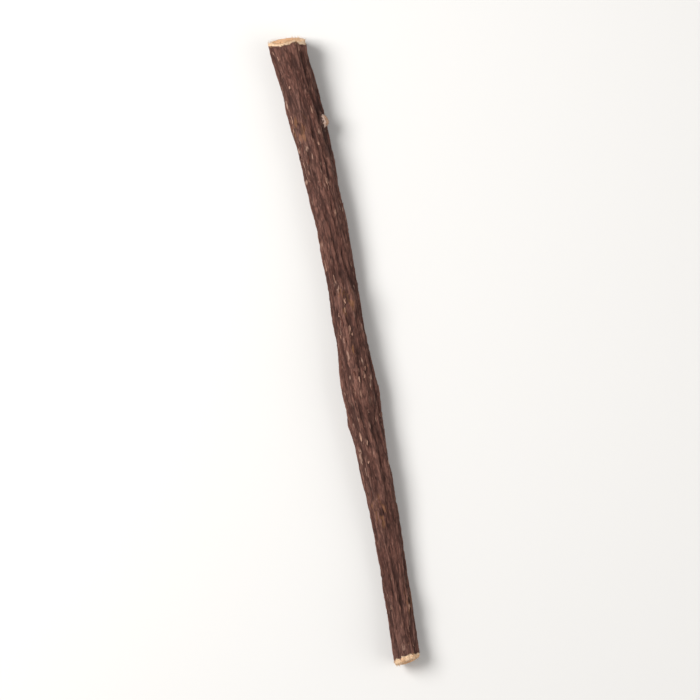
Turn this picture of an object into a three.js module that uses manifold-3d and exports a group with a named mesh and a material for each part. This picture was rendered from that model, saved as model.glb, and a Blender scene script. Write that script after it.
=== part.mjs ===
// A stick of dried licorice root: one length of root with its wrinkled bark on, sheared off at both
// ends and lying on a flat surface. Millimetres, +Z up. The root lies along X with its thick end at
// +X, and the origin is on the surface, under the middle of the root.

import * as THREE from "three";
import { ImprovedNoise } from "three/addons/math/ImprovedNoise.js";
import { mergeVertices } from "three/addons/utils/BufferGeometryUtils.js";
import Module from "manifold-3d";

// Driving dimensions. The two lists are read at even steps from the thin end to the thick end.
const LENGTH = 150;
const DIAMETERS = [6.7, 6.4, 6.6, 7.7, 8.0, 8.0, 7.5, 7.8, 8.4, 8.8, 8.8];
const BOWS = [0, 0.8, 1.1, 1.2, 1.4, 1.5, 2.1, 2.0, 1.5, 1.1, 0]; // sideways, towards -Y

// The old joint, a swelling that runs right round the root, and the flare at the thick end's cut
const JOINT = { x: -9, swell: 0.34, reach: 5.5 };
const FLARE = { swell: 0.4, reach: 3 };

// How the root lies: on two stretches of its underside, with its middle and its ends a little clear
const REST_SPAN = 96;
const MIDDLE_LIFT = 0.55;
const FLAT_DEPTH = 0.34; // how far the bark is pressed flat where it rests

// Cut ends: how far each face leans from square, in degrees, towards +Z and towards +Y
const THICK_CUT = { up: 16, side: -4 };
const THIN_CUT = { up: 10, side: 9 };
const CUT_REACH = 14; // the bark's rows follow the lean of the cut over this length
const CUT_CROWN = 0.35; // the wood stands this far out in the middle of the face
const CAMBIUM = { share: 0.72, width: 0.09, depth: 0.22 }; // the groove between wood and inner bark
const CUT_TEAR = 0.3;
const CUT_TEARS_ACROSS = 2.4;

// Relief of the bark: lumps, then long furrows that meet and part, then shorter ones between them
const LUMP = { depth: 0.42, ring: 0.75, length: 19 };
const FURROW = { depth: 0.5, ring: 1.75, length: 30, width: 0.34 };
const CREASE = { depth: 0.24, ring: 3.1, length: 17, width: 0.42 };
const TWIST = 0.006; // radians that the furrows turn round the root for each millimetre along it
const NOISE_PLACE = 7.3; // where in the noise field the root lies

// Bud and rootlet scars: low warts with a sunken middle. Angles are in degrees, 90 at the top.
const SCARS = [
  { x: 53, angle: 62, long: 2.8, wide: 1.5, height: 0.6 },
  { x: 34, angle: 214, long: 2.8, wide: 1.6, height: 0.6 },
  { x: 12, angle: 98, long: 3.6, wide: 2.1, height: 0.95 },
  { x: -17, angle: 338, long: 3.0, wide: 1.7, height: 0.7 },
  { x: -39, angle: 80, long: 2.8, wide: 1.5, height: 0.6 },
  { x: -61, angle: 148, long: 2.6, wide: 1.4, height: 0.5 },
];
const SCAR_PIT = { share: 0.45, depth: 0.75 };

// A rootlet trimmed off short: an oval boss that leans towards the thin end, with its face turned a
// little towards the thick end
const STUB = { x: 55, angle: 156, length: 2.7, base: 1.5, tip: 1.05, sunk: 1.6, sides: 16 };
const STUB_STRETCH = 1.4; // how much longer it is along the root than round it
const STUB_LEAN = 25;
const STUB_FACE = 12;

// Mesh steps
const COLUMNS = 60;
const ROWS = 84;
const CUT_RINGS = [0, 0.3, 0.56, 0.72, 0.86];

const { clamp, degToRad } = THREE.MathUtils;
const noise = new ImprovedNoise();
const wasm = await Module();
wasm.setup();

// A smooth curve through values that are set at even steps, read at a share of the way along.
function evenCurve(values) {
  const last = values.length - 1;
  const curve = new THREE.SplineCurve(values.map((v, i) => new THREE.Vector2(i / last, v)));
  return (share) => curve.getPoint(clamp(share, 0, 1)).y;
}

const diameterAt = evenCurve(DIAMETERS);
const bowAt = evenCurve(BOWS);

function bell(distance, reach) {
  return Math.exp(-((distance / reach) ** 2));
}

// The root's radius at x before the bark's relief.
function bodyRadius(x) {
  const joint = JOINT.swell * bell(x - JOINT.x, JOINT.reach);
  const flare = FLARE.swell * Math.exp((x - LENGTH / 2) / FLARE.reach);
  return diameterAt(x / LENGTH + 0.5) / 2 + joint + flare;
}

// How far the underside is clear of the surface at x: nothing at the two rests, more between and beyond.
function clearance(x) {
  const rests = (2 * x) / REST_SPAN;
  return MIDDLE_LIFT * (rests * rests - 1) ** 2;
}

// The middle of the root at x, in Y and Z.
function heart(x) {
  return { y: -bowAt(x / LENGTH + 0.5), z: bodyRadius(x) + clearance(x) - FLAT_DEPTH };
}

// Noise on the bark, stretched along the root, for a pattern whose size is in its ring and length.
function barkNoise(pattern, x, angle) {
  const turned = angle + TWIST * x;
  const across = [Math.cos(turned), Math.sin(turned)].map((v) => v * pattern.ring + NOISE_PLACE);
  return noise.noise(across[0], across[1], x / pattern.length + NOISE_PLACE);
}

// A V-shaped line of depth along the places where the noise changes sign.
function lineOf(pattern, x, angle) {
  const closeness = Math.max(0, 1 - Math.abs(barkNoise(pattern, x, angle)) / pattern.width);
  return -pattern.depth * closeness ** 1.4;
}

// One scar's height at a place on the bark.
function scarHeight(scar, x, angle) {
  const turn = angle - degToRad(scar.angle);
  const round = Math.atan2(Math.sin(turn), Math.cos(turn)) * bodyRadius(scar.x);
  const away = Math.hypot((x - scar.x) / scar.long, round / scar.wide);
  return scar.height * (bell(away, 1) - SCAR_PIT.depth * bell(away, SCAR_PIT.share));
}

// The bark's distance from the root's middle.
function barkRadius(x, angle) {
  const lump = LUMP.depth * barkNoise(LUMP, x, angle);
  const lines = lineOf(FURROW, x, angle) + lineOf(CREASE, x, angle);
  const scars = SCARS.reduce((sum, scar) => sum + scarHeight(scar, x, angle), 0);
  return bodyRadius(x) + lump + lines + scars;
}

// How far a leaning cut moves a place at (dy, dz) from the root's middle along X.
function cutLean(cut, dy, dz) {
  return -dz * Math.tan(degToRad(cut.up)) - dy * Math.tan(degToRad(cut.side));
}

// How far the cut face stands out of its plane at a share of the radius.
function cutFace(share, angle, x) {
  const across = [Math.cos(angle), Math.sin(angle)].map((v) => v * share * CUT_TEARS_ACROSS);
  const tear = CUT_TEAR * noise.noise(across[0] + NOISE_PLACE, across[1] + NOISE_PLACE, x);
  const groove = CAMBIUM.depth * bell(share - CAMBIUM.share, CAMBIUM.width);
  return (CUT_CROWN * (1 - share * share) - groove + tear) * (1 - share ** 4);
}

// Where a place on the blank goes: x along the root, a share of the radius and an angle round it.
function rootPlace(x, share, angle) {
  const end = Math.sign(x);
  const radius = barkRadius(x, angle) * share;
  const dy = radius * Math.cos(angle);
  const dz = radius * Math.sin(angle);
  const cut = end > 0 ? THICK_CUT : THIN_CUT;
  const nearEnd = clamp(1 - (LENGTH / 2 - Math.abs(x)) / CUT_REACH, 0, 1) ** 2;
  const lean = end * cutLean(cut, end * dy, dz) * nearEnd;
  const face = share < 1 ? end * cutFace(share, angle, x) : 0;
  const middle = heart(x);
  return new THREE.Vector3(x + lean + face, middle.y + dy, Math.max(0, middle.z + dz));
}

// A straight turned blank of unit radius, closed on its axis at both ends, with rings on its ends.
function blankGeometry() {
  const ring = (end) => (share) => new THREE.Vector2(share, (end * LENGTH) / 2);
  const side = Array.from({ length: ROWS + 1 }, (_, i) => new THREE.Vector2(1, LENGTH * (i / ROWS - 0.5)));
  const profile = [...CUT_RINGS.map(ring(-1)), ...side, ...CUT_RINGS.map(ring(1)).reverse()];
  return new THREE.LatheGeometry(profile, COLUMNS);
}

// The root without its stub: the blank, bent and wrinkled place by place.
function rootGeometry() {
  const blank = blankGeometry();
  const places = blank.getAttribute("position");
  for (let i = 0; i < places.count; i++) {
    const share = Math.hypot(places.getX(i), places.getZ(i));
    const angle = Math.atan2(places.getX(i), places.getZ(i));
    const place = rootPlace(places.getY(i), Math.min(1, share), angle);
    places.setXYZ(i, place.x, place.y, place.z);
  }
  return blank;
}

// The trimmed rootlet, a tapered oval stub with its foot sunk in the bark.
function stubGeometry() {
  const angle = degToRad(STUB.angle);
  const lean = new THREE.Matrix4().makeShear(0, 0, -Math.tan(degToRad(STUB_LEAN)), 0, 0, 0);
  const stub = new THREE.CylinderGeometry(STUB.tip, STUB.base, STUB.length, STUB.sides);
  stub.translate(0, STUB.length / 2 - STUB.sunk, 0);
  stub.scale(STUB_STRETCH, 1, 1);
  stub.applyMatrix4(lean);
  stub.rotateZ(-degToRad(STUB_FACE));
  stub.rotateX(angle);
  const foot = rootPlace(STUB.x, 1, angle);
  return stub.translate(foot.x, foot.y, foot.z);
}

// A geometry as a closed solid, with its doubled vertices merged.
function solidOf(geometry) {
  const bare = geometry.clone().deleteAttribute("normal").deleteAttribute("uv");
  const merged = mergeVertices(bare);
  const vertProperties = merged.getAttribute("position").array;
  const triVerts = new Uint32Array(merged.index.array);
  return new wasm.Manifold(new wasm.Mesh({ numProp: 3, vertProperties, triVerts }));
}

function geometryOf(solid) {
  const { vertProperties, triVerts } = solid.getMesh();
  const geometry = new THREE.BufferGeometry();
  geometry.setAttribute("position", new THREE.BufferAttribute(vertProperties, 3));
  geometry.setIndex(new THREE.BufferAttribute(triVerts, 1));
  return geometry;
}

// Puts the origin under the middle of the geometry's box.
function centred(geometry) {
  geometry.computeBoundingBox();
  const middle = geometry.boundingBox.getCenter(new THREE.Vector3());
  geometry.translate(-middle.x, -middle.y, -geometry.boundingBox.min.z);
  geometry.computeVertexNormals();
  return geometry;
}

const driedBark = new THREE.MeshStandardMaterial({ color: 0x5f4239, roughness: 0.8, metalness: 0 });

const licoriceRoot = new THREE.Mesh(
  centred(geometryOf(solidOf(rootGeometry()).add(solidOf(stubGeometry())))),
  driedBark,
);
licoriceRoot.name = "licorice_root";

const part = new THREE.Group();
part.name = "licorice_root_stick";
part.add(licoriceRoot);

export default part;
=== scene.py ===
"""A stick of dried licorice root: its fine bark, sheared ends, cork scales and fibres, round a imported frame.

The skin is cast onto the frame's own solid, so it keeps that solid's bends, furrows, scars and stub, and
then gets the relief that is too fine for the solid. Lengths are in metres, and the patterns are laid out
in root_space, which is the root rolled out straight, in millimetres: x along it, y and z round it.
"""

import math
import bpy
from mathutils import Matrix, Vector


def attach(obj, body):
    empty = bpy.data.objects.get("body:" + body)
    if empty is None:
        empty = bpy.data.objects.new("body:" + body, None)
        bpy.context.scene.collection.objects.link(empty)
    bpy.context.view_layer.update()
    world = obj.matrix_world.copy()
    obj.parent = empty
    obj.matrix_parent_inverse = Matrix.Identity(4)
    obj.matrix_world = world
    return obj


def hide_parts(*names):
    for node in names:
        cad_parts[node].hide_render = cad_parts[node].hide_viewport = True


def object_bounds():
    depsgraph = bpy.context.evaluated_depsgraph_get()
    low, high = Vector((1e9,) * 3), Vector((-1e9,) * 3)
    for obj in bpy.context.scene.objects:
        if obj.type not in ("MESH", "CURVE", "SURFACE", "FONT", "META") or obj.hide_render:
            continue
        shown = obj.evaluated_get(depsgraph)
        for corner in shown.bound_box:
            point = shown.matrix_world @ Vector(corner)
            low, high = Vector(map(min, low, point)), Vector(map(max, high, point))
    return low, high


bl_info = {
    "name": "Licorice root stick",
    "version": (1, 0, 0),
    "blender": (4, 5, 0),
    "location": "View3D > Sidebar > Licorice root",
    "description": "Builds the bark, cut ends and loose fibres of a dried licorice root, and a small studio",
    "category": "Add Mesh",
}

import bmesh
import bpy
import numpy as np
from bpy.props import FloatProperty, FloatVectorProperty, IntProperty, PointerProperty

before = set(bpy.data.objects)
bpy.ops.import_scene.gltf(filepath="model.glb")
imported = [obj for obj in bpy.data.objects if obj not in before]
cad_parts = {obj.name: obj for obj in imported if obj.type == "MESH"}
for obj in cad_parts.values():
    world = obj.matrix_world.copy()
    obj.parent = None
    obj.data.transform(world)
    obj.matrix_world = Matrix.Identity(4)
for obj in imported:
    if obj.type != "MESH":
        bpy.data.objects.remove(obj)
CAD_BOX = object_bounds()

NODE = "licorice_root"
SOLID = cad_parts[NODE]
SKIN = "licorice_root_skin"
BODY = "root"
MM = 0.001
SPACE_RADIUS = 4.0  # root_space is rolled out at this radius, in millimetres, whatever the root's own

# The kinds of node that the trees have most of, some with their operation, and the setting of a smooth range
MATH = "ShaderNodeMath"
TIMES = (MATH, "MULTIPLY")
MINUS = (MATH, "SUBTRACT")
TIMES_PLUS = (MATH, "MULTIPLY_ADD")
POWER = (MATH, "POWER")
ABOVE = (MATH, "GREATER_THAN")
BELOW = (MATH, "LESS_THAN")
VECTOR = "ShaderNodeVectorMath"
RESIZE = (VECTOR, "SCALE")
SHIFT = (VECTOR, "ADD")
STRETCH = (VECTOR, "MULTIPLY")
STRETCH_SHIFT = (VECTOR, "MULTIPLY_ADD")
RANGE = "ShaderNodeMapRange"
SPLIT = "ShaderNodeSeparateXYZ"
JOIN = "ShaderNodeCombineXYZ"
NOISE = "ShaderNodeTexNoise"
MOVE = "GeometryNodeSetPosition"
SMOOTH = {"interpolation_type": "SMOOTHSTEP"}

# The patterns: millimetres along the root and across it, where in the noise each lies, and its detail. A
# root's single fibres and pores are about 0.02 mm wide, too fine to show in the picture, so the threads,
# grain, streaks, rays, pores and bundles are drawn several times as coarse, to show.
PATTERNS = {
    "plate": (4.6, 0.95, 11.7, 2),
    "small plate": (1.9, 0.52, 8.9, 2),
    "wrinkle": (10, 1.6, 3.1, 1.5),
    "thread": (3.4, 0.36, 5.3, 2),
    "grit": (1.2, 0.7, 33, 4),
    "patch": (13, 2.4, 21.3, 5),
    "crowd": (17, 4.5, 29, 2),
    "nick": (1.5, 1.3, 83, 3),
    "grain": (1.2, 0.13, 71, 3),
    "stretch": (22, 5, 41, 3),
    "weather": (30, 6, 57, 4),
    "streak": (3.2, 0.5, 63, 4),
    "shred": (1.8, 0.4, 97, 3),
    "bundle": (0.3, 0.24, 101, 2),
    "cork": (3.2, 1.1, 91, 3),
    "ray": (5, 0.34, 17, 3),
    "tear": (0.5, 0.5, 2.7, 3),
    "pore": (0.3, 0.3, 23, 2),
    "blotch": (2.2, 2.2, 31, 2),
    "check": (9, 3.4, 14.1, 0.5),
    "loose streak": (2, 0.2, 37, 3),
}

# A mark begins to show at the first of these values of its field, and shows in full at the second
SPECK = (0.82, 0.98)
FLAKED = (0.655, 0.675)
CROWDED = (0.42, 0.6)
CHIPPED = (-1.2, -1.6)
CHIP_FACING = (0.8, 0.97)
BROKEN = (0.42, 0.6)
BUNDLED = (0.5, 0.66)
CORK_PATCH = (0.5, 0.62)
CHECK_OPEN = (0.44, 0.56)
MOTTLED = (1.3, 2.3)

# And these show so by their distance in millimetres, or by the share of a cut face's radius
NEAR_SCAR = (2.2, 0.7)
CORKY_SCAR = (3.2, 1.2)
STUB_WOOD = (1.2, 0.9)
STUB_PAINT = (1.15, 0.95)
HEARTWOOD = (0.8, 0.62)

# Bud and rootlet scars: millimetres along the root, and degrees round it with 90 at the top
SCARS = [(53, 62), (34, 214), (12, 98), (-17, 338), (-39, 80), (-61, 148)]
SCAR_STRETCH = 1.7  # a scar is this much longer along the root than round it
STUB_STRETCH = 1.9  # and so is the face of the trimmed rootlet, by this much
STUB_RISE = 0.3  # how much further up than down its bark is gone, so the stump's top is pale and its lower side dark bark: painted light from above, painted shade below
LIP_AWAY = 1.55  # how far the lip of bark round that face is from its middle, in millimetres
LIP_WIDTH = 0.5  # and how far it slopes to each side
CHIP_ANGLE = 163  # where the largest chip is at the rim of the thick cut, in degrees round the root
CHIP_REACH = 1.3  # how far it runs down the bark, in millimetres
NICK_SWING = 3.0  # how far the noise of the small nicks moves the chipped edge
ROW_PULL = 0.62  # how much closer the skin's rows are at the trimmed rootlet
ROW_REACH = 0.024  # and over what share of the root's length


def linear(hex_colour):
    """An sRGB hex colour as linear red, green and blue, with full alpha."""
    shares = [int(hex_colour[i : i + 2], 16) / 255 for i in (1, 3, 5)]
    return (*(s / 12.92 if s <= 0.04045 else ((s + 0.055) / 1.055) ** 2.4 for s in shares), 1.0)


def prop(default, name, description, kind=FloatProperty, **more):
    """A property with its default, name and description."""
    return kind(name=name, description=description, default=default, **more)


def colour(hex_colour, *words):
    """A colour property with its default from an sRGB hex value."""
    return prop(linear(hex_colour), *words, FloatVectorProperty, subtype="COLOR", size=4, min=0, max=1)


def length(millimetres, *words):
    """A length property with its default in millimetres."""
    return prop(millimetres * MM, *words, subtype="DISTANCE", unit="LENGTH")


def sizes(millimetres, *words):
    """A property of three lengths with its default in millimetres."""
    return prop([v * MM for v in millimetres], *words, FloatVectorProperty, subtype="XYZ", unit="LENGTH")


class RootSkinSettings(bpy.types.PropertyGroup):
    """The bark and the two cut faces."""

    columns: prop(200, "Columns", "Faces round the root", IntProperty, min=24)
    rows: prop(430, "Rows", "Faces along the root", IntProperty, min=24)
    cut_rings: prop(22, "Cut rings", "Rings of faces on a cut end", IntProperty, min=4)
    easing: prop(8, "Easing", "Passes that ease the solid's facets", IntProperty, min=0)
    cavity: prop(140, "Cavity reach", "Passes that find a furrow's depth", IntProperty, min=0)
    cut_reach: length(14, "Cut reach", "How far the rows near an end follow the lean of its cut")
    rim: length(0.06, "Rim", "How far inside the cut plane the bark stops")
    sharpen: prop(0.6, "Sharpen", "How much deeper the solid's furrows get")
    wrinkle: length(0.16, "Wrinkle depth", "Depth of the wrinkles between the furrows")
    plate: length(0.09, "Plate depth", "Depth of the net between the small plates of cork")
    thread: length(0.05, "Thread height", "Height of the fine threads of the bark")
    fleck: length(0.05, "Fleck height", "Height of the small pale corky spots")
    flake: length(0.1, "Flake depth", "Depth where the outer cork has flaked off")
    scar: length(0.16, "Scar depth", "Depth of the cracks round a bud or rootlet scar")
    chip: length(0.2, "Chip depth", "Depth where the bark is chipped off at the rim of a cut")
    tear: length(0.22, "Tear height", "Height of the torn fibres on a cut face")
    check: length(0.4, "Check depth", "Depth of the drying cracks on a cut face")

    bark: colour("#623e34", "Bark", "Main colour of the bark")
    # The bark's redder, darker tone, and also painted shade inside the drying checks of the cut faces
    deep_bark_and_check_shade: colour("#4e2e26", "Deep bark", "Redder, darker stretches of the bark")
    bark_grey: colour("#75574d", "Weathered bark", "Greyer, rubbed stretches of the bark")
    # Painted shade in the bark's furrows, creases and hollows and round the trimmed rootlet, and also the
    # bark's own darkest tone in its streaks, grain and scars
    furrow_shade_and_dark_tone: colour("#301c17", "Furrow", "The bottom of the furrows")
    # The bark's paler rubbed tone, and also a painted highlight on the crests of the ridges and on the lip
    # round the trimmed rootlet
    rubbed_crest_and_highlight: colour("#855d50", "Ridge", "The rubbed crests of the ridges")
    fleck_pale: colour("#9f7f6e", "Fleck", "The small corky spots")
    flake_gold: colour("#91643f", "Flaked bark", "The ochre layer under the cork")
    wood: colour("#ddb18a", "Wood", "The yellow wood of a cut face")
    wood_warm: colour("#c68f62", "Warm wood", "Darker bundles of the cut face")
    inner_bark: colour("#e0c4a4", "Inner bark", "The ring of inner bark on a cut face")
    cambium: colour("#8a603b", "Cambium", "The brown line between wood and inner bark")
    trimmed: colour("#b09789", "Trimmed rootlet", "The weathered face of the rootlet that was trimmed off")


class CorkScaleSettings(bpy.types.PropertyGroup):
    """The small scales of cork that have lifted off the bark at one end."""

    density: prop(90000, "Density", "Scales on a square metre of bark")
    seed: prop(4, "Seed", "Where the scales are", IntProperty)
    least: sizes((0.9, 0.12, 0.05), "Least size", "Length, width and thickness of the smallest scale")
    most: sizes((3.0, 0.5, 0.1), "Most size", "Length, width and thickness of the largest scale")
    dark: colour("#56332a", "Dark scale", "The darkest scales")
    pale: colour("#a47f6c", "Pale scale", "The palest scales")


class CutFibreSettings(bpy.types.PropertyGroup):
    """The fibres that the shears left standing at the rims of the cuts."""

    density: prop(2600000, "Density", "Fibres on a square metre of the rims")
    seed: prop(9, "Seed", "Where the fibres are", IntProperty)
    least: sizes((0.05, 0.05, 0.25), "Least size", "Two thicknesses and the length of the smallest fibre")
    most: sizes((0.1, 0.1, 1.0), "Most size", "Two thicknesses and the length of the largest fibre")
    dark: colour("#a9794e", "Dark fibre", "The fibres of the inner bark")
    pale: colour("#e8cfa6", "Pale fibre", "The fibres of the wood")


class StageSettings(bpy.types.PropertyGroup):
    """The floor, light and camera."""

    floor: colour("#dddbd8", "Floor", "The pale floor")
    fill: prop(0.9, "Frame share", "Share of the picture's height that the root takes")
    lean: prop(math.radians(11), "Lean", "How far the root leans in the picture", subtype="ANGLE")
    distance: length(600, "Camera height", "How far the camera is above the floor")
    key: prop(4.1, "Key light", "Strength of the main light", subtype="POWER")
    back: prop(1.3, "Fill light", "Strength of the second light", subtype="POWER")
    sky: prop(0.36, "Room light", "Strength of the light from all round")


def give(tree, node, values):
    """Gives a node's inputs numbers, or links from sockets or other nodes, in order or by name."""
    sockets = [socket for socket in node.inputs if socket.enabled]
    named = {socket.name: socket for socket in reversed(sockets)}
    for key, value in values.items() if isinstance(values, dict) else enumerate(values):
        socket = named[key] if isinstance(key, str) else sockets[key]
        if isinstance(value, bpy.types.Node):
            value = next(output for output in value.outputs if output.enabled)
        if isinstance(value, bpy.types.NodeSocket):
            tree.links.new(value, socket)
        else:
            socket.default_value = value


def add(tree, kind, values=(), **settings):
    """Adds a node with its settings, and its inputs' values and links. A kind may bring its operation."""
    if isinstance(kind, tuple):
        kind, settings["operation"] = kind
    node = tree.nodes.new(kind)
    for name, setting in settings.items():
        setattr(node, name, setting)
    give(tree, node, values)
    return node


def new_tree(name, inputs):
    """An empty Geometry Nodes tree with named inputs of each kind, as the tree, its inputs and its output."""
    tree = bpy.data.node_groups.new(name, "GeometryNodeTree")
    for kind, labels in inputs.items():
        for label in labels:
            tree.interface.new_socket(label, in_out="INPUT", socket_type="NodeSocket" + kind)
    tree.interface.new_socket("Geometry", in_out="OUTPUT", socket_type="NodeSocketGeometry")
    given = {socket.name: socket for socket in tree.nodes.new("NodeGroupInput").outputs}
    return tree, given, tree.nodes.new("NodeGroupOutput").inputs["Geometry"]


def placed(name, data):
    """A new object in the scene, with its data."""
    thing = bpy.data.objects.new(name, data)
    bpy.context.scene.collection.objects.link(thing)
    return thing


def made_by(tree, name, values):
    """A plain mesh object that a Geometry Nodes tree makes from the values of its named inputs."""
    piece = placed(name, bpy.data.meshes.new(name))
    modifier = piece.modifiers.new(tree.name, "NODES")
    modifier.node_group = tree
    for socket in tree.interface.items_tree:
        if socket.in_out == "INPUT":
            modifier[socket.identifier] = values[socket.name]
    depsgraph = bpy.context.evaluated_depsgraph_get()
    made = bpy.data.meshes.new_from_object(
        piece.evaluated_get(depsgraph), preserve_all_data_layers=True, depsgraph=depsgraph
    )
    piece.modifiers.remove(modifier)
    piece.data = made
    made.name = name
    return piece


def solid_places():
    """The corners of the frame's solid, as rows of x, y and z."""
    mesh = SOLID.data
    places = np.zeros(len(mesh.vertices) * 3)
    mesh.vertices.foreach_get("co", places)
    return np.unique(places.reshape(-1, 3).round(7), axis=0)


HEART_DEGREE = 7
HEART_STEPS = 60
HEART_SLICE = 1.5  # each slice reaches this many steps to each side
HEART_TRIM = 8  # percent of a slice's corners that are left out at each side, so that no bump counts


def heart_of(places):
    """The root's middle as smooth curves of x: functions that give y and z."""
    low, high = places[:, 0].min(), places[:, 0].max()
    slices = np.linspace(low, high, HEART_STEPS)
    reach = HEART_SLICE * (slices[1] - slices[0])
    near = [places[np.abs(places[:, 0] - x) < reach] for x in slices]
    middles = np.array([np.percentile(p, (HEART_TRIM, 100 - HEART_TRIM), axis=0).mean(0) for p in near])
    return [np.poly1d(np.polyfit(slices, middles[:, i], HEART_DEGREE)) for i in (1, 2)]


RIM_TURN = 1.0  # radians: only the rims of the cuts turn more sharply than this
END = 0.9 * CAD_BOX[1].x  # the cuts are further than this from the root's middle
MERGE = 0.001 * MM
SETTLING = 4  # passes that find where a leaning cut crosses the bent middle


def cut_plane(end, heart):
    """A cut's plane from its sharp rim: x where it crosses the root's middle, and its slopes in y and z."""
    solid = bmesh.new()
    solid.from_mesh(SOLID.data)
    bmesh.ops.remove_doubles(solid, verts=solid.verts, dist=MERGE)
    rim = {
        vertex.co.to_tuple()
        for edge in solid.edges
        if edge.is_manifold and edge.calc_face_angle() > RIM_TURN
        for vertex in edge.verts
        if vertex.co.x * end > END
    }
    solid.free()
    rim = np.array(sorted(rim))
    terms = np.column_stack([np.ones(len(rim)), rim[:, 1:]])
    start, slope_y, slope_z = np.linalg.lstsq(terms, rim[:, 0], rcond=None)[0]
    x = end * END
    for _ in range(SETTLING):
        x = start + slope_y * heart[0](x) + slope_z * heart[1](x)
    return x, slope_y, slope_z


ROOTLET_NEAR = 4 * MM  # the bark near a place reaches this far along the root
ROOTLET_TURN = 1.0  # and this far round it, in radians
ROOTLET_SHARE = 0.5  # the rootlet's face stands out at least this share of its highest place


def rootlet_face(places, heart):
    """The middle of the trimmed rootlet's face, where the solid stands out furthest from the bark near it."""
    aside = places[:, 1] - heart[0](places[:, 0])
    above = places[:, 2] - heart[1](places[:, 0])
    out, angle = np.hypot(aside, above), np.arctan2(above, aside)
    proud = np.zeros(len(places))
    for i, place in enumerate(places):
        turn = np.abs(np.angle(np.exp(1j * (angle - angle[i]))))
        near = (np.abs(places[:, 0] - place[0]) < ROOTLET_NEAR) & (turn < ROOTLET_TURN)
        proud[i] = out[i] - np.median(out[near])
    proud[np.abs(places[:, 0]) > END] = 0  # the cut ends aside
    peak = places[proud.argmax()]
    close = np.linalg.norm(places - peak, axis=1) < ROOTLET_NEAR
    return places[close & (proud > ROOTLET_SHARE * proud.max())].mean(0)


def heart_line(heart, low, high):
    """A curve object along the root's middle, evenly stepped in x."""
    curve = bpy.data.curves.new("heart_line", "CURVE")
    curve.dimensions = "3D"
    spline = curve.splines.new("POLY")
    spline.points.add(HEART_STEPS - 1)
    for point, x in zip(spline.points, np.linspace(low, high, HEART_STEPS)):
        point.co = (x, heart[0](x), heart[1](x), 1)
    return placed("heart_line", curve)


def scar_places():
    """A mesh object with a point for each scar, in root_space squeezed by the scars' stretch."""
    turns = [(x, math.radians(angle)) for x, angle in SCARS]
    points = [(x / SCAR_STRETCH, SPACE_RADIUS * math.cos(t), SPACE_RADIUS * math.sin(t)) for x, t in turns]
    mesh = bpy.data.meshes.new("scar_places")
    mesh.from_pydata(points, [], [])
    return placed("scar_places", mesh)


def pattern_place(tree, space, name):
    """root_space measured in a pattern's own lengths."""
    along, across, seed, _ = PATTERNS[name]
    shares = (1 / along, 1 / across, 1 / across)
    return add(tree, STRETCH_SHIFT, [space, shares, (seed, -seed, seed / 2)])


def soft_noise(tree, space, name, scale=1.0):
    """A pattern as cloudy noise from 0 to 1, stretched along the root."""
    place = pattern_place(tree, space, name)
    return add(tree, NOISE, {"Vector": place, "Scale": scale, "Detail": PATTERNS[name][-1]})


def away_from(tree, field, value):
    """How far a field is from a value, to either side."""
    off = add(tree, MINUS, [field, value])
    return add(tree, MATH, [off], operation="ABSOLUTE")


def thin_lines(tree, space, name, width):
    """A pattern as thin lines that meet and part: 1 along them, and 0 away from them."""
    away = away_from(tree, soft_noise(tree, space, name), 0.5)
    return add(tree, RANGE, [away, 0, width, 1, 0], **SMOOTH)


WRINKLE_WIDTH = 0.05  # shares of the noise that the lines take up
CHECK_WIDTH = 0.024
NET_WIDTH = 0.2  # how wide the net's lines are, in a plate's own lengths
NOTCHES = 1.4  # how many notches the edge of a plate has along its length
NOTCH_DEPTH = (1.1, 1.1, 1.1)  # and how deep they are, in the same lengths


def plates(tree, space, name):
    """A pattern as a ragged net of long plates: 1 on its lines and 0 inside, and three tones of each."""
    place = pattern_place(tree, space, name)
    notches = soft_noise(tree, space, name, NOTCHES).outputs["Color"]
    ragged = add(tree, STRETCH_SHIFT, [notches, NOTCH_DEPTH, place])
    ragged = {"Vector": ragged, "Scale": 1.0}
    net = add(tree, "ShaderNodeTexVoronoi", ragged, feature="DISTANCE_TO_EDGE")
    cells = add(tree, "ShaderNodeTexVoronoi", ragged)
    lines = add(tree, RANGE, [net, 0, NET_WIDTH, 1, 0], **SMOOTH)
    return lines, add(tree, SPLIT, [cells.outputs["Color"]])


def crowding(tree, space):
    """Where flecks and scales are crowded: 1 in some stretches of the bark, and little in the rest."""
    return add(tree, RANGE, [soft_noise(tree, space, "crowd"), *CROWDED, 0.1, 1], **SMOOTH)


def bark_patterns(tree, space):
    """The bark's patterns as fields, the same for its relief and for its colour."""
    net, tones = plates(tree, space, "plate")
    small_net, small_tones = plates(tree, space, "small plate")
    speck = add(tree, RANGE, [small_tones.outputs["X"], *SPECK, 0, 1], **SMOOTH)
    speck = add(tree, TIMES, [speck, crowding(tree, space)])
    body = add(tree, MINUS, [1, small_net])
    patch = soft_noise(tree, space, "patch")
    return {
        "wrinkle": thin_lines(tree, space, "wrinkle", WRINKLE_WIDTH),
        "net": net,
        "small_net": small_net,
        "tone": tones.outputs["X"],
        "fleck": add(tree, TIMES, [body, speck]),
        "thread": soft_noise(tree, space, "thread"),
        "grit": soft_noise(tree, space, "grit"),
        "flake": add(tree, RANGE, [patch, *FLAKED, 0, 1], **SMOOTH),
    }


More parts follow.
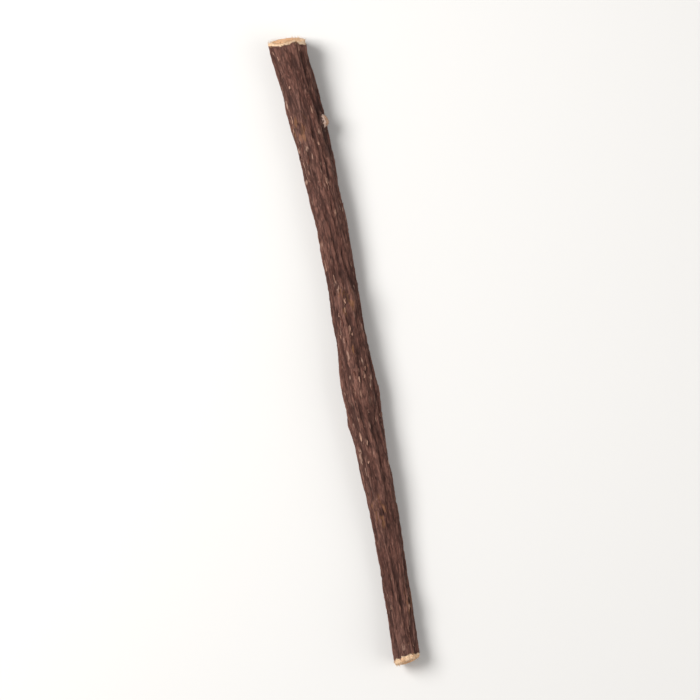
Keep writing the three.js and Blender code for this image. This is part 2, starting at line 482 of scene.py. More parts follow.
def rim_chips(tree, space, around, from_cut):
    """1 where the bark is chipped off at the rims of the cuts: small nicks, and one large chip."""
    turn = math.radians(CHIP_ANGLE)
    chip = (0, math.cos(turn), math.sin(turn))
    facing = add(tree, VECTOR, [around, chip], operation="DOT_PRODUCT")
    reach = add(tree, RANGE, [facing, *CHIP_FACING, 0, CHIP_REACH])
    along = add(tree, SPLIT, [space]).outputs["X"]
    thick = add(tree, ABOVE, [along, 0])
    reach = add(tree, TIMES, [reach, thick])
    below = add(tree, MINUS, [from_cut, reach])
    nicks = soft_noise(tree, space, "nick")
    below = add(tree, TIMES_PLUS, [nicks, -NICK_SWING, below])
    return add(tree, RANGE, [below, *CHIPPED, 0, 1], **SMOOTH)


def rootlet_lip(tree, stub):
    """1 on the lip of bark round the trimmed rootlet's face, from the distance to the face's middle."""
    off = away_from(tree, stub, LIP_AWAY)
    return add(tree, RANGE, [off, LIP_WIDTH, 0, 0, 1], **SMOOTH)


END_SHIFT = 0.37  # how far a face's rays shift in their noise for each millimetre along the root


def cut_patterns(tree, space, around, share):
    """The patterns of a cut face as fields, the same for its relief and for its colour."""
    spin = add(tree, RESIZE, [around, SPACE_RADIUS])
    out = add(tree, TIMES, [share, SPACE_RADIUS])
    out = add(tree, JOIN, {"X": out})
    polar = add(tree, SHIFT, [spin, out])
    along = add(tree, VECTOR, [space, (END_SHIFT, 0, 0)], operation="DOT_PRODUCT")
    along = add(tree, JOIN, {"Y": along})
    polar = add(tree, SHIFT, [polar, along])  # the two ends differ
    inside = add(tree, RANGE, [share, *HEARTWOOD, 0, 1], **SMOOTH)
    checks = thin_lines(tree, polar, "check", CHECK_WIDTH)
    blotches = soft_noise(tree, space, "blotch")
    opened = add(tree, RANGE, [blotches, *CHECK_OPEN, 0, 1], **SMOOTH)
    checks = add(tree, TIMES, [checks, opened])
    return {
        "rays": soft_noise(tree, polar, "ray"),
        "tear": soft_noise(tree, space, "tear"),
        "pores": soft_noise(tree, space, "pore"),
        "blotches": blotches,
        "check": add(tree, TIMES, [checks, inside]),
    }


def blank_tube(tree, given):
    """A closed tube of unit radius and length, which keeps each place's share of the length and radius, and
    its direction from the middle, as the cylinder node, the geometry and those three fields."""
    faces = {"Vertices": "Columns", "Side Segments": "Rows", "Fill Segments": "Cut rings"}
    unit = {"Radius": 1, "Depth": 1, **{name: given[label] for name, label in faces.items()}}
    blank = add(tree, "GeometryNodeMeshCylinder", unit, fill_type="TRIANGLE_FAN")
    spot = add(tree, SPLIT, [add(tree, "GeometryNodeInputPosition")])
    flat = add(tree, JOIN, {"Y": spot.outputs["X"], "Z": spot.outputs["Y"]})
    even = add(tree, MATH, [spot.outputs["Z"], 0.5], operation="ADD")
    off = add(tree, MINUS, [even, given["Rootlet row"]])
    near = add(tree, TIMES, [off, 1 / ROW_REACH])
    near = add(tree, POWER, [near, 2])
    near = add(tree, TIMES, [near, -1])
    near = add(tree, MATH, [near], operation="EXPONENT")
    pull = add(tree, TIMES, [off, near])
    along = add(tree, TIMES_PLUS, [pull, -ROW_PULL, even])
    kept = {
        "root_along": ("FLOAT", along),
        "root_share": ("FLOAT", add(tree, VECTOR, [flat], operation="LENGTH")),
        "root_around": ("FLOAT_VECTOR", add(tree, VECTOR, [flat], operation="NORMALIZE")),
    }
    shape = blank.outputs["Mesh"]
    fields = []
    for name, (kind, field) in kept.items():
        values = {"Geometry": shape, "Name": name, "Value": field}
        shape = add(tree, "GeometryNodeStoreNamedAttribute", values, data_type=kind)
        fields.append(add(tree, "GeometryNodeInputNamedAttribute", {"Name": name}, data_type=kind))
    return blank, shape, *fields


OUTSIDE = 12 * MM  # rays start this far out, clear of the root
MOST_LIFT = 0.25 * MM  # ridges are sharpened as if they stood out this far at most
STUB_KEPT = (1.6 * MM, 3 * MM)  # the solid is eased less than elsewhere up to the second of these distances
STUB_EASING = 0.12  # and this share as much up to the first, so that the rootlet keeps its edge
WHOLE_SHARE = 0.999  # places below this share of the radius are on a cut


def cast_on_root(tree, given, along, share, around):
    """Where each place of the tube lands on the solid, and what the patterns need to know about it."""
    root = add(tree, "GeometryNodeObjectInfo", {"Object": given["Root"]}).outputs["Geometry"]
    line = add(tree, "GeometryNodeObjectInfo", {"Object": given["Heart line"]}).outputs["Geometry"]
    middle = add(tree, "GeometryNodeSampleCurve", {"Curves": line, "Factor": along}, mode="FACTOR")
    middle = middle.outputs["Position"]

    # Rays point straight in, or lean with the cut near an end
    thick = add(tree, ABOVE, [along, 0.5])
    cuts = {"Factor": thick, "A": given["Thin cut"], "B": given["Thick cut"]}
    cut = add(tree, "ShaderNodeMix", cuts, data_type="VECTOR")
    gap = add(tree, VECTOR, [middle, cut], operation="SUBTRACT")
    gap = add(tree, SPLIT, [gap]).outputs["X"]
    from_cut = add(tree, MATH, [gap], operation="ABSOLUTE")
    near = add(tree, RANGE, [from_cut, 0, given["Cut reach"], 1, 0])
    nearer = add(tree, POWER, [near, 2])
    slope = add(tree, VECTOR, [cut, around], operation="DOT_PRODUCT")
    lean = add(tree, TIMES, [slope, nearer])
    leaning = add(tree, JOIN, {"X": lean})
    outward = add(tree, SHIFT, [around, leaning])
    start = add(tree, STRETCH_SHIFT, [outward, (OUTSIDE,) * 3, middle])
    inward = add(tree, RESIZE, [outward, -1])
    cast = {"Target Geometry": root, "Ray Length": 2 * OUTSIDE}
    ray = {**cast, "Source Position": start, "Ray Direction": inward}
    passed = add(tree, "GeometryNodeRaycast", ray).outputs["Hit Distance"]
    stretch = add(tree, VECTOR, [outward], operation="LENGTH")
    passed = add(tree, MATH, [passed, stretch], operation="DIVIDE")
    radius = add(tree, MINUS, [OUTSIDE, passed])

    # The solid's radius with its facets eased, less so at the trimmed rootlet, and how far each place stands
    # out of its surroundings
    struck = add(tree, STRETCH_SHIFT, [outward, radius, middle])
    to_stub = add(tree, VECTOR, [struck, given["Rootlet"]], operation="DISTANCE")
    soften = add(tree, RANGE, [to_stub, *STUB_KEPT, STUB_EASING, 1])
    eased = add(tree, "GeometryNodeBlurAttribute", [radius, given["Easing"], soften])
    wide = add(tree, "GeometryNodeBlurAttribute", [eased, given["Cavity"], 1])
    proud = add(tree, MINUS, [eased, wide])
    lift = add(tree, MATH, [proud, MOST_LIFT], operation="MINIMUM")
    deeper = add(tree, TIMES_PLUS, [lift, given["Sharpen"], eased])
    reach = add(tree, TIMES, [deeper, share])
    reach = add(tree, RESIZE, [outward, reach])
    on_bark = add(tree, SHIFT, [middle, reach])

    # The cut faces are cast along x, and eased too
    side = add(tree, RANGE, [thick, 0, 1, -OUTSIDE, OUTSIDE])
    side = add(tree, JOIN, {"X": side})
    start = add(tree, SHIFT, [on_bark, side])
    inward = add(tree, RESIZE, [side, -1])
    ray = {**cast, "Source Position": start, "Ray Direction": inward}
    on_face = add(tree, "GeometryNodeRaycast", ray).outputs["Hit Position"]
    on_cut = add(tree, BELOW, [share, WHOLE_SHARE])
    landed = {"Switch": on_cut, "False": on_bark, "True": on_face}
    landed = add(tree, "GeometryNodeSwitch", landed, input_type="VECTOR")
    landed = [landed, given["Easing"], on_cut]
    landed = add(tree, "GeometryNodeBlurAttribute", landed, data_type="FLOAT_VECTOR")
    return {
        "landed": landed,
        "on_cut": on_cut,
        "proud": add(tree, TIMES, [proud, 1 / MM]),
        "from_cut": add(tree, TIMES, [from_cut, 1 / MM]),
    }


SCAR_RINGS = 5.5  # radians of the rings round a scar for each millimetre from it
SMALL_PLATE = 0.45  # how deep the small plates' net is beside the large ones'


def skin_relief(tree, given, bark, face, chips, scar, stub, on_cut):
    """How far each place stands out of the eased solid, in metres."""
    rings = add(tree, TIMES, [scar, SCAR_RINGS])
    rings = add(tree, MATH, [rings], operation="SINE")
    close = add(tree, RANGE, [scar, *NEAR_SCAR, 0, 1], **SMOOTH)
    rings = add(tree, TIMES, [rings, close])
    either_way = (bark["thread"], bark["grit"], face["tear"])
    thread, grit, torn = (add(tree, MINUS, [field, 0.5]) for field in either_way)
    small = add(tree, TIMES, [bark["small_net"], SMALL_PLATE])
    on_bark = [
        (bark["wrinkle"], "Wrinkle", -1),
        (bark["net"], "Plate", -1),
        (small, "Plate", -1),
        (bark["flake"], "Flake", -1),
        (bark["fleck"], "Fleck", 1),
        (thread, "Thread", 1.6),
        (grit, "Thread", 2.4),
        (rings, "Scar", 1),
        (rootlet_lip(tree, stub), "Scar", 1.6),
        (chips, "Chip", -1),
    ]
    on_face = [(torn, "Tear", 1), (face["check"], "Check", -1)]
    sums = []
    for heights in (on_bark, on_face):
        relief = 0.0
        for pattern, label, times in heights:
            tall = add(tree, TIMES, [given[label], times])
            relief = add(tree, TIMES_PLUS, [pattern, tall, relief])
        sums.append(relief)
    trimmed = add(tree, RANGE, [stub, *STUB_WOOD, 0, 1])
    sums[0] = add(tree, "ShaderNodeMix", {"Factor": trimmed, "A": sums[0], "B": sums[1]}, data_type="FLOAT")
    chosen = {"Switch": on_cut, "False": sums[0], "True": sums[1]}
    return add(tree, "GeometryNodeSwitch", chosen, input_type="FLOAT")


# The skin's inputs by kind. Its settings give the counts and the amounts, which have the same names.
COUNTS = ["Columns", "Rows", "Cut rings", "Easing", "Cavity"]
AMOUNTS = ["Cut reach", "Sharpen"]
AMOUNTS += ["Wrinkle", "Plate", "Thread", "Fleck", "Flake", "Scar", "Chip", "Tear", "Check"]
SKIN_INPUTS = {
    "Object": ["Root", "Heart line", "Scars"],
    "Vector": ["Thick cut", "Thin cut", "Rootlet"],
    "Int": COUNTS,
    "Float": ["Rootlet row", *AMOUNTS],
    "Material": ["Bark", "Cut wood"],
}


def skin_tree():
    """The tree that casts a fine closed tube onto the solid, and gives it the bark's and cuts' relief."""
    tree, given, result = new_tree("Licorice root skin", SKIN_INPUTS)
    blank, shape, along, share, around = blank_tube(tree, given)
    cast = cast_on_root(tree, given, along, share, around)
    shape = add(tree, MOVE, {"Geometry": shape, "Position": cast["landed"]})

    # Where each place is in root_space, and how near it is to a scar and to the trimmed rootlet's face
    place = add(tree, "GeometryNodeInputPosition")
    rolled = add(tree, TIMES, [share, SPACE_RADIUS])
    rolled = add(tree, RESIZE, [around, rolled])
    here = add(tree, STRETCH_SHIFT, [place, (1 / MM, 0, 0), rolled])
    space = add(tree, "GeometryNodeInputNamedAttribute", {"Name": "root_space"}, data_type="FLOAT_VECTOR")
    squeezed = add(tree, STRETCH, [space, (1 / SCAR_STRETCH, 1, 1)])
    scars = add(tree, "GeometryNodeObjectInfo", {"Object": given["Scars"]}).outputs["Geometry"]
    scar = {"Geometry": scars, "Sample Position": squeezed}
    scar = add(tree, "GeometryNodeProximity", scar, target_element="POINTS").outputs["Distance"]
    off_face = add(tree, VECTOR, [place, given["Rootlet"]], operation="SUBTRACT")
    oval = (1 / STUB_STRETCH / MM, 1 / MM, 1 / MM)
    off_face = add(tree, STRETCH, [off_face, oval])
    stub = add(tree, VECTOR, [off_face], operation="LENGTH")
    # Shifting the face's middle up paints light on the stump's top and shade under it in the bark's colour
    rise = add(tree, SPLIT, [off_face]).outputs["Z"]
    stub = add(tree, TIMES_PLUS, [rise, -STUB_RISE, stub])
    kept = {
        "root_space": ("FLOAT_VECTOR", here),
        "proud": ("FLOAT", cast["proud"]),
        "from_cut": ("FLOAT", cast["from_cut"]),
        "scar": ("FLOAT", scar),
        "stub": ("FLOAT", stub),
    }
    for name, (kind, field) in kept.items():
        values = {"Geometry": shape, "Name": name, "Value": field}
        shape = add(tree, "GeometryNodeStoreNamedAttribute", values, data_type=kind)

    bark = bark_patterns(tree, space)
    face = cut_patterns(tree, space, around, share)
    chips = rim_chips(tree, space, around, cast["from_cut"])
    relief = skin_relief(tree, given, bark, face, chips, scar, stub, cast["on_cut"])
    normal = add(tree, "GeometryNodeInputNormal")
    raised = add(tree, RESIZE, [normal, relief])
    shape = add(tree, MOVE, {"Geometry": shape, "Offset": raised})

    # Nothing reaches below the surface that the root lies on
    lowest = add(tree, VECTOR, [place, (-1, -1, 0)], operation="MAXIMUM")
    shape = add(tree, MOVE, {"Geometry": shape, "Position": lowest})
    shape = add(tree, "GeometryNodeSetShadeSmooth", {"Geometry": shape, "Shade Smooth": True})
    shape = add(tree, "GeometryNodeRealizeInstances", {"Geometry": shape})
    shape = add(tree, "GeometryNodeSetMaterial", {"Geometry": shape, "Material": given["Bark"]})
    for end in ("Top", "Bottom"):
        values = {"Geometry": shape, "Selection": blank.outputs[end], "Material": given["Cut wood"]}
        shape = add(tree, "GeometryNodeSetMaterial", values)
    tree.links.new(shape.outputs[0], result)
    return tree


def new_material(name):
    """An empty node material, as the material, its tree and its Principled shader."""
    material = bpy.data.materials.new(name)
    material.use_nodes = True
    return material, material.node_tree, material.node_tree.nodes["Principled BSDF"]


def tinted(tree, settings, ground, steps):
    """A colour built up from the settings' colours: each step lays a tone over the ground as its field goes
    from a low to a high value, and covers it by a share at most."""
    tint = getattr(settings, ground)
    for field, low, high, tone, most in steps:
        share = add(tree, RANGE, [field, low, high, 0, most], **SMOOTH)
        layers = {"Factor": share, "A": tint, "B": getattr(settings, tone)}
        tint = add(tree, "ShaderNodeMix", layers, data_type="RGBA")
    return tint


SHRED_REACH = 1.8  # how far the shreds at the trimmed rootlet's edge reach, in millimetres
STUB_HEART = 0.6  # how far the brown ring on its face is from the middle


def dried_bark(settings):
    """Licorice bark, wrinkled by drying: matt and reddish brown, with painted shade near black in the furrows,
    rubbed paler and greyer on the ridges, whose paler crests are partly a painted highlight, with small corky
    flecks, and ochre where the cork has flaked off. The chips at the cuts are pale, and the trimmed rootlet's
    face is a weathered buff with a brown ring, a painted highlight on the lip round it, and painted shade in
    the creases beyond the lip and under the stump."""
    material, tree, shader = new_material("Dried licorice bark, wrinkled")
    space = add(tree, "ShaderNodeAttribute", attribute_name="root_space").outputs["Vector"]
    around = add(tree, "ShaderNodeAttribute", attribute_name="root_around").outputs["Vector"]
    proud, from_cut, scar, stub = (
        add(tree, "ShaderNodeAttribute", attribute_name=name).outputs["Fac"]
        for name in ("proud", "from_cut", "scar", "stub")
    )
    bark = bark_patterns(tree, space)
    chips = rim_chips(tree, space, around, from_cut)
    grain, streaks = (soft_noise(tree, space, name) for name in ("grain", "streak"))
    broken = add(tree, RANGE, [streaks, *BROKEN, 0, 1])
    flaked, fleck = (add(tree, TIMES, [bark[name], broken]) for name in ("flake", "fleck"))
    shreds = soft_noise(tree, space, "shred")
    ragged = add(tree, TIMES_PLUS, [shreds, SHRED_REACH, stub])
    ragged = add(tree, MINUS, [ragged, SHRED_REACH / 2])
    trimmed = add(tree, RANGE, [ragged, *STUB_PAINT, 0, 1])
    bundles = add(tree, RANGE, [soft_noise(tree, space, "bundle"), *BUNDLED, 0, 1])
    bundles = add(tree, TIMES, [bundles, trimmed])
    patchy = add(tree, RANGE, [soft_noise(tree, space, "cork"), *CORK_PATCH, 0, 1])
    corky = add(tree, RANGE, [scar, *CORKY_SCAR, 0, 1])
    corky = add(tree, TIMES, [corky, patchy])
    steps = [
        (soft_noise(tree, space, "stretch"), 0.42, 0.62, "deep_bark_and_check_shade", 0.8),
        (soft_noise(tree, space, "weather"), 0.5, 0.7, "bark_grey", 0.6),
        # Painted shade in the crease beyond the lip round the trimmed rootlet
        (stub, 2.5, 1.9, "furrow_shade_and_dark_tone", 0.5),
        # Painted highlight along the lip of bark round the trimmed rootlet
        (rootlet_lip(tree, stub), 0.1, 0.8, "rubbed_crest_and_highlight", 0.6),
        (bark["tone"], 0.7, 1, "rubbed_crest_and_highlight", 0.45),
        (bark["tone"], 0.35, 0, "deep_bark_and_check_shade", 0.6),
        (bark["grit"], 0.52, 0.72, "rubbed_crest_and_highlight", 0.6),
        (bark["grit"], 0.48, 0.28, "deep_bark_and_check_shade", 0.7),
        (streaks, 0.5, 0.72, "rubbed_crest_and_highlight", 0.4),
        (streaks, 0.5, 0.3, "furrow_shade_and_dark_tone", 0.35),
        (grain, 0.52, 0.72, "rubbed_crest_and_highlight", 0.5),
        (grain, 0.48, 0.28, "furrow_shade_and_dark_tone", 0.5),
        # Painted highlight on crests that stand out of their surroundings, together with the paler rubbed tone
        # of worn crests
        (proud, 0, 0.2, "rubbed_crest_and_highlight", 0.5),
        (flaked, 0, 1, "flake_gold", 0.7),
        # Painted shade in hollows that lie below their surroundings
        (proud, -0.02, -0.22, "furrow_shade_and_dark_tone", 0.62),
        # Painted shade in the wrinkles and in the net between the cork plates, where the relief sinks
        (bark["wrinkle"], 0.1, 1, "furrow_shade_and_dark_tone", 0.6),
        (bark["net"], 0.15, 1, "furrow_shade_and_dark_tone", 0.5),
        (bark["small_net"], 0.3, 1, "furrow_shade_and_dark_tone", 0.3),
        (fleck, 0, 0.7, "fleck_pale", 0.75),
        (corky, 0.2, 0.7, "flake_gold", 0.34),
        (scar, 0.8, 0.4, "furrow_shade_and_dark_tone", 0.6),
        (chips, 0, 1, "inner_bark", 0.75),
        # Painted shade in the gap round the trimmed rootlet's face
        (stub, 1.4, 1.2, "furrow_shade_and_dark_tone", 0.8),
        (trimmed, 0, 1, "trimmed", 0.95),
        (ragged, 0.65, 0.5, "wood_warm", 0.35),
        (away_from(tree, ragged, STUB_HEART), 0.18, 0, "cambium", 0.6),
        (bundles, 0, 1, "cambium", 0.6),
    ]
    rough = add(tree, RANGE, [streaks, 0.3, 0.7, 0.9, 0.72])
    bump = add(tree, "ShaderNodeBump", {"Strength": 0.8, "Distance": 0.08 * MM, "Height": grain})
    tint = tinted(tree, settings, "bark", steps)
    give(tree, shader, {"Base Color": tint, "Roughness": rough, "Normal": bump})
    give(tree, shader, {"IOR": 1.5, "Specular IOR Level": 0.22})
    return material


CAMBIUM = 0.75  # the brown line's share of a cut face's radius
CAMBIUM_WOBBLE = 0.06  # and how far it wanders


def sheared_wood(settings):
    """Licorice wood, sheared across: dry, pale and fibrous, yellow with darker rays in the middle, a brown
    line at the cambium, and a paler ring of inner bark that darkens to the rim where no bark is chipped,
    with painted shade inside its drying checks."""
    material, tree, shader = new_material("Licorice wood, sheared across")
    space = add(tree, "ShaderNodeAttribute", attribute_name="root_space").outputs["Vector"]
    around = add(tree, "ShaderNodeAttribute", attribute_name="root_around").outputs["Vector"]
    share = add(tree, "ShaderNodeAttribute", attribute_name="root_share").outputs["Fac"]
    face = cut_patterns(tree, space, around, share)
    wobble = add(tree, TIMES_PLUS, [face["blotches"], CAMBIUM_WOBBLE, share])
    whole = add(tree, MINUS, [1, rim_chips(tree, space, around, 0)])
    rim = add(tree, TIMES, [wobble, whole])
    steps = [
        (face["rays"], 0.46, 0.66, "wood_warm", 0.85),
        (wobble, 0.74, 0.78, "inner_bark", 0.7),
        (face["blotches"], 0.5, 0.7, "wood_warm", 0.5),
        (face["pores"], 0.5, 0.7, "cambium", 0.6),
        (away_from(tree, wobble, CAMBIUM), 0.08, 0, "cambium", 0.6),
        (rim, 0.97, 1.03, "bark", 0.75),
        # Painted shade inside the drying checks
        (face["check"], 0.1, 0.9, "deep_bark_and_check_shade", 0.65),
    ]
    bump = add(tree, "ShaderNodeBump", {"Strength": 0.6, "Distance": 0.08 * MM, "Height": face["pores"]})
    give(tree, shader, {"Base Color": tinted(tree, settings, "wood", steps), "Normal": bump})
    give(tree, shader, {"Roughness": 0.88, "IOR": 1.5, "Specular IOR Level": 0.25})
    return material


class LICORICE_OT_root_skin(bpy.types.Operator):
    """Builds the root's bark and cut ends, and hides the solid that they stand for"""

    bl_idname = "licorice.root_skin"
    bl_label = "Root skin"

    def execute(self, context):
        settings = context.scene.licorice_skin
        places = solid_places()
        heart = heart_of(places)
        thick, thin = (list(cut_plane(end, heart)) for end in (1, -1))
        thick[0] -= settings.rim
        thin[0] += settings.rim
        line, scars = heart_line(heart, thin[0], thick[0]), scar_places()
        rootlet = rootlet_face(places, heart)
        values = {label: getattr(settings, label.lower().replace(" ", "_")) for label in COUNTS + AMOUNTS}
        values |= {
            "Root": SOLID,
            "Heart line": line,
            "Scars": scars,
            "Thick cut": thick,
            "Thin cut": thin,
            "Rootlet": rootlet.tolist(),
            "Rootlet row": (rootlet[0] - thin[0]) / (thick[0] - thin[0]),
            "Bark": dried_bark(settings),
            "Cut wood": sheared_wood(settings),
        }
        skin = made_by(skin_tree(), SKIN, values)
        for helper in (line, scars):
            bpy.data.objects.remove(helper)
        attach(skin, BODY)
        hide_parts(NODE)
        return {"FINISHED"}


LOOSE_INPUTS = {
    "Object": ["Skin"],
    "Float": ["Density"],
    "Int": ["Seed"],
    "Vector": ["Least", "Most"],
    "Material": ["Material"],
}

# What the skin keeps for the loose pieces
SKIN_KINDS = {
    "root_space": "FLOAT_VECTOR",
    "root_around": "FLOAT_VECTOR",
    "root_share": "FLOAT",
    "from_cut": "FLOAT",
}

CRUMPLE_SIZE = 0.5 * MM  # from one bend of a crumpled scale or fibre to the next


def skin_fields(tree):
    """The fields that the skin keeps for the loose pieces, by name."""
    return {
        name: add(tree, "GeometryNodeInputNamedAttribute", {"Name": name}, data_type=kind)
        for name, kind in SKIN_KINDS.items()
    }


def strewn(tree, given, result, chosen, often, blade, out, ahead, crumple):
    """Strews copies of a blade over the chosen faces of the skin, as often as a field from 0 to 1 says: its
    z points out and its x points ahead. Then crumples them by a length, in metres."""
    skin = add(tree, "GeometryNodeObjectInfo", {"Object": given["Skin"]}).outputs["Geometry"]
    density = add(tree, TIMES, [given["Density"], often])
    values = {"Mesh": skin, "Selection": chosen, "Density": density, "Seed": given["Seed"]}
    points = add(tree, "GeometryNodeDistributePointsOnFaces", values)
    tone = add(tree, "FunctionNodeRandomValue", {"Seed": 1}, data_type="FLOAT")
    values = {"Geometry": points.outputs["Points"], "Name": "tone", "Value": tone}
    points = add(tree, "GeometryNodeStoreNamedAttribute", values, data_type="FLOAT")
    turn = add(tree, "FunctionNodeAlignRotationToVector", {"Vector": out}, axis="Z")
    values = {"Rotation": turn, "Vector": ahead}
    turn = add(tree, "FunctionNodeAlignRotationToVector", values, axis="X", pivot_axis="Z")
    values = {"Min": given["Least"], "Max": given["Most"], "Seed": 2}
    size = add(tree, "FunctionNodeRandomValue", values, data_type="FLOAT_VECTOR")
    values = {"Points": points, "Instance": blade, "Rotation": turn, "Scale": size}
    shape = add(tree, "GeometryNodeInstanceOnPoints", values)
    shape = add(tree, "GeometryNodeRealizeInstances", {"Geometry": shape})
    place = add(tree, "GeometryNodeInputPosition")
    noise = add(tree, NOISE, {"Vector": place, "Scale": 1 / CRUMPLE_SIZE, "Detail": 2})
    shift = add(tree, VECTOR, [noise.outputs["Color"], (0.5, 0.5, 0.5)], operation="SUBTRACT")
    shift = add(tree, RESIZE, [shift, 2 * crumple])
    shape = add(tree, MOVE, {"Geometry": shape, "Offset": shift})
    shape = add(tree, "GeometryNodeSetShadeSmooth", {"Geometry": shape, "Shade Smooth": True})
    shape = add(tree, "GeometryNodeSetMaterial", {"Geometry": shape, "Material": given["Material"]})
    tree.links.new(shape.outputs[0], result)


SCALE_FACES = {"Segments": 10, "Rings": 6}
SCALE_FLAT = 0.1  # a scale lies flat up to this share of its length behind its middle
SCALE_CURL = 7.0  # how steeply it curls up from there
SCALE_SKEW = 0.14  # how far scales turn from the root's run
SCALE_HEIGHT = 1.2 * MM  # none is lower than this
SCALE_FROM_CUT = 1.5  # and none is nearer to a cut, in millimetres
SCALE_CRUMPLE = 0.22 * MM


def scale_tree():
    """The tree that strews thin scales along the bark, each lying flat and curling up at one end."""
    tree, given, result = new_tree("Lifted cork scales", LOOSE_INPUTS)
    skin = skin_fields(tree)
    lens = add(tree, "GeometryNodeMeshUVSphere", {**SCALE_FACES, "Radius": 0.5})
    spot = add(tree, SPLIT, [add(tree, "GeometryNodeInputPosition")])
    up = add(tree, MATH, [spot.outputs["X"], SCALE_FLAT], operation="ADD")
    up = add(tree, MATH, [up, 0], operation="MAXIMUM")
    up = add(tree, POWER, [up, 2])
    up = add(tree, TIMES, [up, SCALE_CURL])
    curl = add(tree, JOIN, {"Z": up})
    blade = add(tree, MOVE, {"Geometry": lens.outputs["Mesh"], "Offset": curl})

    # On the bark, clear of the cuts and of the surface that the root lies on
    clear = add(tree, ABOVE, [spot.outputs["Z"], SCALE_HEIGHT])
    away = add(tree, ABOVE, [skin["from_cut"], SCALE_FROM_CUT])
    chosen = add(tree, TIMES, [clear, away])
    askew = {"Min": (-1, -SCALE_SKEW, -SCALE_SKEW), "Max": (1, SCALE_SKEW, SCALE_SKEW), "Seed": 3}
    askew = add(tree, "FunctionNodeRandomValue", askew, data_type="FLOAT_VECTOR")
    way = add(tree, VECTOR, [askew], operation="SIGN")
    way = add(tree, STRETCH, [way, (1, 0, 0)])
    ahead = add(tree, STRETCH_SHIFT, [askew, (0, 1, 1), way])
    often = crowding(tree, skin["root_space"])
    strewn(tree, given, result, chosen, often, blade, skin["root_around"], ahead, SCALE_CRUMPLE)
    return tree


FIBRE_FACES = {"Vertices": 5, "Side Segments": 5, "Fill Segments": 1}
FIBRE_TAPER = {"Radius Top": 0.2, "Radius Bottom": 0.5, "Depth": 1.0}
FIBRE_BEND = 3.0  # how far a fibre's tip bends aside, in its own thicknesses
FIBRE_SUNK = 0.15  # the share of its length by which it is sunk in the root
FIBRE_STRIP = 0.35  # fibres stand on the bark up to this far from a cut, in millimetres
FIBRE_SHARE = 0.72  # and on the cut face beyond this share of its radius
FIBRE_SPLAY = (0.3, 0.3, 0.3)  # how far they lean outwards
FIBRE_STRAY = 0.4  # and to any side
FIBRE_CRUMPLE = 0.06 * MM


def fibre_tree():
    """The tree that stands short bent fibres along the rims of the cuts."""
    tree, given, result = new_tree("Torn cut fibres", LOOSE_INPUTS)
    skin = skin_fields(tree)
    spike = add(tree, "GeometryNodeMeshCone", {**FIBRE_FACES, **FIBRE_TAPER})
    spot = add(tree, SPLIT, [add(tree, "GeometryNodeInputPosition")])
    aside = add(tree, POWER, [spot.outputs["Z"], 2])
    aside = add(tree, TIMES, [aside, FIBRE_BEND])
    bend = add(tree, JOIN, {"X": aside, "Z": -FIBRE_SUNK})
    blade = add(tree, MOVE, {"Geometry": spike.outputs["Mesh"], "Offset": bend})

    at_rim = add(tree, BELOW, [skin["from_cut"], FIBRE_STRIP])
    outer = add(tree, ABOVE, [skin["root_share"], FIBRE_SHARE])
    chosen = add(tree, TIMES, [at_rim, outer])
    end = add(tree, MATH, [spot.outputs["X"]], operation="SIGN")
    end = add(tree, JOIN, {"X": end})
    stray = {"Min": (-FIBRE_STRAY,) * 3, "Max": (FIBRE_STRAY,) * 3, "Seed": 3}
    stray = add(tree, "FunctionNodeRandomValue", stray, data_type="FLOAT_VECTOR")
    out = add(tree, STRETCH_SHIFT, [skin["root_around"], FIBRE_SPLAY, stray])
    out = add(tree, SHIFT, [end, out])
    strewn(tree, given, result, chosen, 1.0, blade, out, stray, FIBRE_CRUMPLE)
    return tree


MOTTLING = 2.4  # how much the streaks weigh beside each copy's own tone


def two_tone(name, settings, rough):
    """A dry matt material between a dark and a pale tone, by the tone drawn for each copy, and streaked."""
    material, tree, shader = new_material(name)
    tone = add(tree, "ShaderNodeAttribute", attribute_name="tone").outputs["Fac"]
    place = add(tree, "ShaderNodeTexCoord").outputs["Object"]
    place = add(tree, RESIZE, [place, 1 / MM])
    streaks = soft_noise(tree, place, "loose streak")
    mottled = add(tree, TIMES_PLUS, [streaks, MOTTLING, tone])
    tint = tinted(tree, settings, "dark", [(mottled, *MOTTLED, "pale", 1.0)])
    give(tree, shader, {"Base Color": tint, "Roughness": rough, "IOR": 1.5, "Specular IOR Level": 0.2})
    return material


def cork_scale(settings):
    """Outer cork, dried and lifted in scales: matt brown to pinkish buff, so each shows as a small fleck."""
    return two_tone("Licorice cork, lifted in scales", settings, 0.85)


def torn_fibre(settings):
    """Bast and wood fibre, torn by the shears: straw to tan and quite matt, a pale fuzz along the rims."""
    return two_tone("Licorice fibre, torn", settings, 0.9)


def loose_piece(tree, name, settings, material):
    """Builds a piece of loose copies on the skin, and lets it ride with the root."""
    values = {
        "Skin": bpy.data.objects[SKIN],
        "Density": settings.density,
        "Seed": settings.seed,
        "Least": list(settings.least),
        "Most": list(settings.most),
        "Material": material,
    }
    piece = made_by(tree, name, values)
    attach(piece, BODY)


class LICORICE_OT_cork_scales(bpy.types.Operator):
    """Adds the lifted scales of cork to the bark"""

    bl_idname = "licorice.cork_scales"
    bl_label = "Cork scales"

    def execute(self, context):
        settings = context.scene.licorice_scales
        loose_piece(scale_tree(), "cork_scales", settings, cork_scale(settings))
        return {"FINISHED"}


class LICORICE_OT_cut_fibres(bpy.types.Operator):
    """Adds the torn fibres to the rims of the cut ends"""

    bl_idname = "licorice.cut_fibres"
    bl_label = "Cut fibres"

    def execute(self, context):
        settings = context.scene.licorice_fibres
        loose_piece(fibre_tree(), "cut_fibres", settings, torn_fibre(settings))
        return {"FINISHED"}


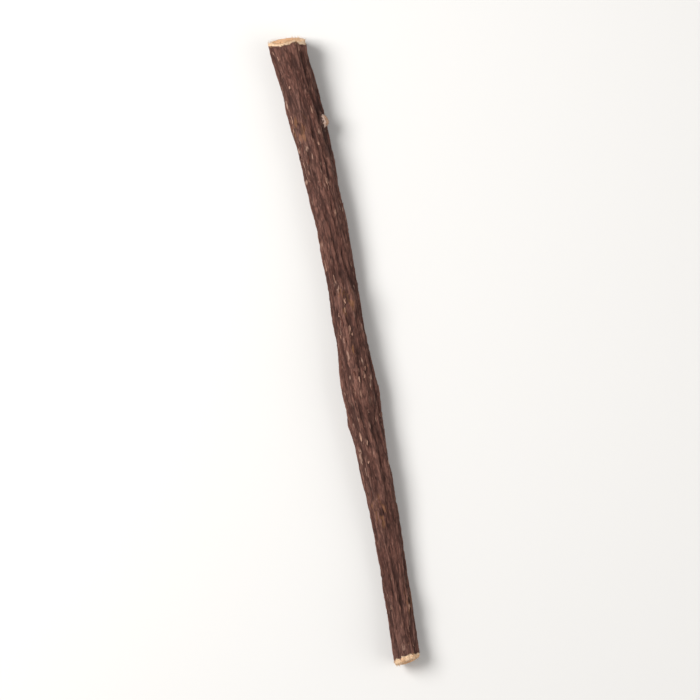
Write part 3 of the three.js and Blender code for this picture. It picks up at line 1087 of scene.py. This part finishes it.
def area_light(name, power, size, place, target):
    """A square soft light that faces a target."""
    lamp = bpy.data.lights.new(name, "AREA")
    lamp.energy = power
    lamp.size = size
    light = placed(name, lamp)
    light.location = place
    light.rotation_euler = (target - light.location).to_track_quat("-Z", "Y").to_euler()


FLOOR_CORNERS = [(-3, -3, 0), (3, -3, 0), (3, 3, 0), (-3, 3, 0)]
KEY_SIZE = 0.3
KEY_PLACE = (0.2, 0.32, 0.44)
FILL_SIZE = 0.5
FILL_PLACE = (-0.2, -0.45, 0.35)


class LICORICE_OT_stage(bpy.types.Operator):
    """Adds the pale floor, the soft lights and the camera that looks down on the root"""

    bl_idname = "licorice.stage"
    bl_label = "Stage"

    def execute(self, context):
        settings = context.scene.licorice_stage
        scene = context.scene
        scene.view_settings.view_transform = "Standard"

        sheet = bpy.data.meshes.new("floor")
        sheet.from_pydata(FLOOR_CORNERS, [], [(0, 1, 2, 3)])
        paper, tree, shader = new_material("Matt white paper")
        give(tree, shader, {"Base Color": settings.floor, "Roughness": 0.9})
        sheet.materials.append(paper)
        floor = placed("floor", sheet)

        world = bpy.data.worlds.new("Soft room")
        world.use_nodes = True
        sky = world.node_tree.nodes["Background"]
        give(world.node_tree, sky, {"Color": (1, 1, 1, 1), "Strength": settings.sky})
        scene.world = world

        low, high = CAD_BOX
        middle = (low + high) / 2
        area_light("key_light", settings.key, KEY_SIZE, KEY_PLACE, middle)
        area_light("fill_light", settings.back, FILL_SIZE, FILL_PLACE, middle)

        lens = bpy.data.cameras.new("camera")
        shown = (high.x - low.x) * math.cos(settings.lean) / settings.fill
        lens.lens = lens.sensor_width * (settings.distance - middle.z) / shown
        camera = placed("camera", lens)
        camera.location = (middle.x, middle.y, settings.distance)
        camera.rotation_euler = (0, 0, -math.pi / 2 - settings.lean)
        scene.camera = camera
        return {"FINISHED"}


class LICORICE_PT_panel(bpy.types.Panel):
    """The root's sizes and colours, and the buttons that build it"""

    bl_idname = "LICORICE_PT_panel"
    bl_label = "Licorice root"
    bl_space_type = "VIEW_3D"
    bl_region_type = "UI"
    bl_category = "Licorice root"

    def draw(self, context):
        for operator, (name, _) in GROUPS.items():
            settings = getattr(context.scene, name)
            column = self.layout.box().column()
            for value in settings.__annotations__:
                column.prop(settings, value)
            column.operator(operator.bl_idname)


# Each operator, with the name that the scene keeps its settings under and their class
GROUPS = {
    LICORICE_OT_root_skin: ("licorice_skin", RootSkinSettings),
    LICORICE_OT_cork_scales: ("licorice_scales", CorkScaleSettings),
    LICORICE_OT_cut_fibres: ("licorice_fibres", CutFibreSettings),
    LICORICE_OT_stage: ("licorice_stage", StageSettings),
}
CLASSES = (*(settings for _, settings in GROUPS.values()), *GROUPS, LICORICE_PT_panel)


def register():
    for each in CLASSES:
        bpy.utils.register_class(each)
    for name, settings in GROUPS.values():
        setattr(bpy.types.Scene, name, PointerProperty(type=settings))


def unregister():
    for name, _ in GROUPS.values():
        delattr(bpy.types.Scene, name)
    for each in reversed(CLASSES):
        bpy.utils.unregister_class(each)


def main():
    register()
    bpy.ops.licorice.root_skin()
    bpy.ops.licorice.cork_scales()
    bpy.ops.licorice.cut_fibres()
    bpy.ops.licorice.stage()


if __name__ == "__main__":
    main()
